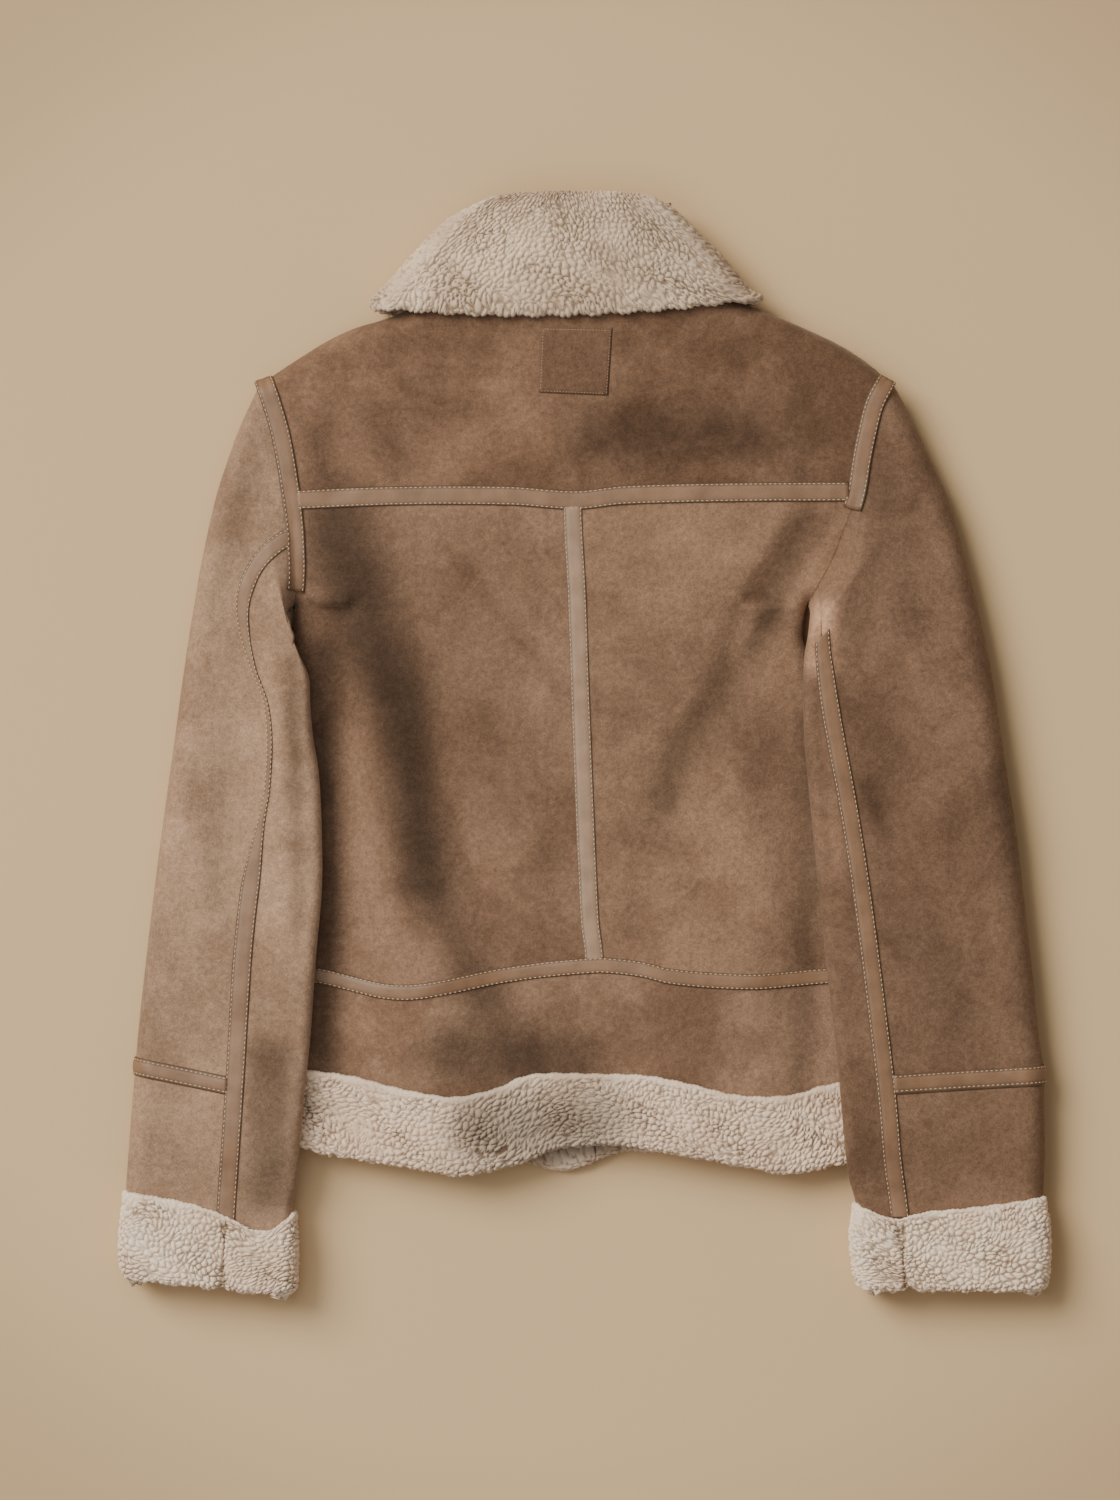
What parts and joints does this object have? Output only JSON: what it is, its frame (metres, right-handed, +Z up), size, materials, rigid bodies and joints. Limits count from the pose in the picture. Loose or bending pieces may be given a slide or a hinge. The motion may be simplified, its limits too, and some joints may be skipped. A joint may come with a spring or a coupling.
{
  "type": "suede jacket",
  "caption": "Cropped suede jacket lying face down, with a fleece collar, turned-up fleece cuffs and hem, and stitched leather tapes over its seams.",
  "frame": {"origin": "centre of the bounding box in plan, at the flat surface that the fronts lie on", "axes": "+Y from the hem to the collar, +X to the wearer's right sleeve as it lies face down, +Z up out of the back"},
  "size_m": [0.6582, 0.7733, 0.0465],
  "materials": {
    "suede": "brushed brown suede, matt",
    "leather_tape": "smooth leather strips with a slight shine",
    "fleece": "cream curled fleece"
  },
  "bodies": {
    "root": {"back_yoke": "suede", "back_left": "suede", "back_right": "suede", "back_waistband": "suede", "front_left": "suede", "front_right": "suede", "back_patch": "suede", "hem_back": "fleece", "hem_front_left": "fleece", "hem_front_right": "fleece", "collar": "fleece", "yoke_tape": "leather_tape", "centre_back_tape": "leather_tape", "waist_tape": "leather_tape", "left_sleeve_upper": "suede", "left_cuff_panel": "suede", "left_sleeve_under": "suede", "left_armhole_tape": "leather_tape", "left_sleeve_tape": "leather_tape", "left_cuff_tape": "leather_tape", "left_cuff": "fleece", "right_sleeve_upper": "suede", "right_cuff_panel": "suede", "right_sleeve_under": "suede", "right_armhole_tape": "leather_tape", "right_sleeve_tape": "leather_tape", "right_cuff_tape": "leather_tape", "right_cuff": "fleece"}
  },
  "joints": []
}
